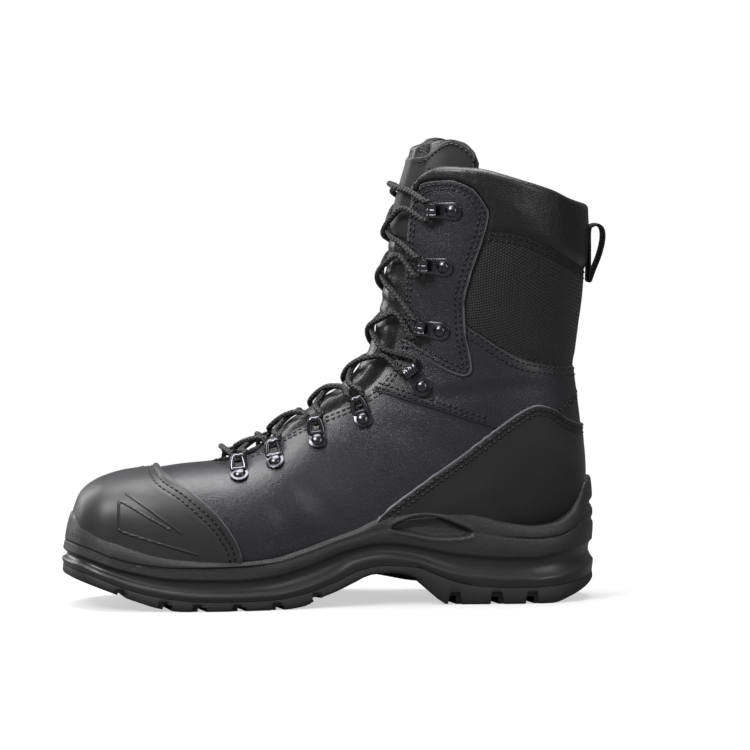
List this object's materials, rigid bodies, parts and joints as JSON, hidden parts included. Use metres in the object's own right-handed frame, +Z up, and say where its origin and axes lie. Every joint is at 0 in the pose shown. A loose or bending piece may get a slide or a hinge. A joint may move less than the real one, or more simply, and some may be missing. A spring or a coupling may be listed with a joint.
{
  "type": "lace-up safety boot",
  "caption": "High lace-up safety boot for the right foot, with a lugged sole, a toe cap, a padded collar and laces through rings and hooks.",
  "frame": {"origin": "on the floor under the middle of the heel", "axes": "+Z up, -X towards the toe, -Y towards the inner side of this right boot, +Y towards its outer side"},
  "size_m": [0.3161, 0.112, 0.2671],
  "materials": {
    "outsole_rubber": "matt, moulded",
    "midsole_pu": "satin, fine leather grain on the upper band",
    "insole_textile": "matt",
    "upper_leather": "smooth, soft sheen",
    "scuff_cap": "fine grained, satin",
    "counter_leather": "nubuck, nearly matt",
    "cuff_leather": "soft, satin",
    "webbing": "ribbed",
    "dark_metal": "polished dark nickel",
    "lace": "round braid, light flecks"
  },
  "bodies": {
    "root": {"outsole": "outsole_rubber", "midsole": "midsole_pu", "insole": "insole_textile", "upper": "upper_leather", "toe_cap": "scuff_cap", "heel_counter": "counter_leather", "eyestay_inner": "upper_leather", "eyestay_outer": "upper_leather", "collar_cuff": "cuff_leather", "tongue": "upper_leather", "pull_loop": "webbing", "lace_ring_1_inner": "dark_metal", "lace_ring_1_outer": "dark_metal", "lace_ring_2_inner": "dark_metal", "lace_ring_2_outer": "dark_metal", "lace_ring_3_inner": "dark_metal", "lace_ring_3_outer": "dark_metal", "lace_ring_4_inner": "dark_metal", "lace_ring_4_outer": "dark_metal", "lace_hook_5_inner": "dark_metal", "lace_hook_5_outer": "dark_metal", "lace_hook_6_inner": "dark_metal", "lace_hook_6_outer": "dark_metal", "lace_hook_7_inner": "dark_metal", "lace_hook_7_outer": "dark_metal", "lace_hook_8_inner": "dark_metal", "lace_hook_8_outer": "dark_metal", "lace_crossing_1": "lace", "lace_crossing_2": "lace", "lace_crossing_3": "lace", "lace_crossing_4": "lace", "lace_crossing_5": "lace", "lace_crossing_6": "lace", "lace_crossing_7": "lace", "lace_bottom_bar": "lace", "lace_top_crossing": "lace"}
  },
  "joints": []
}
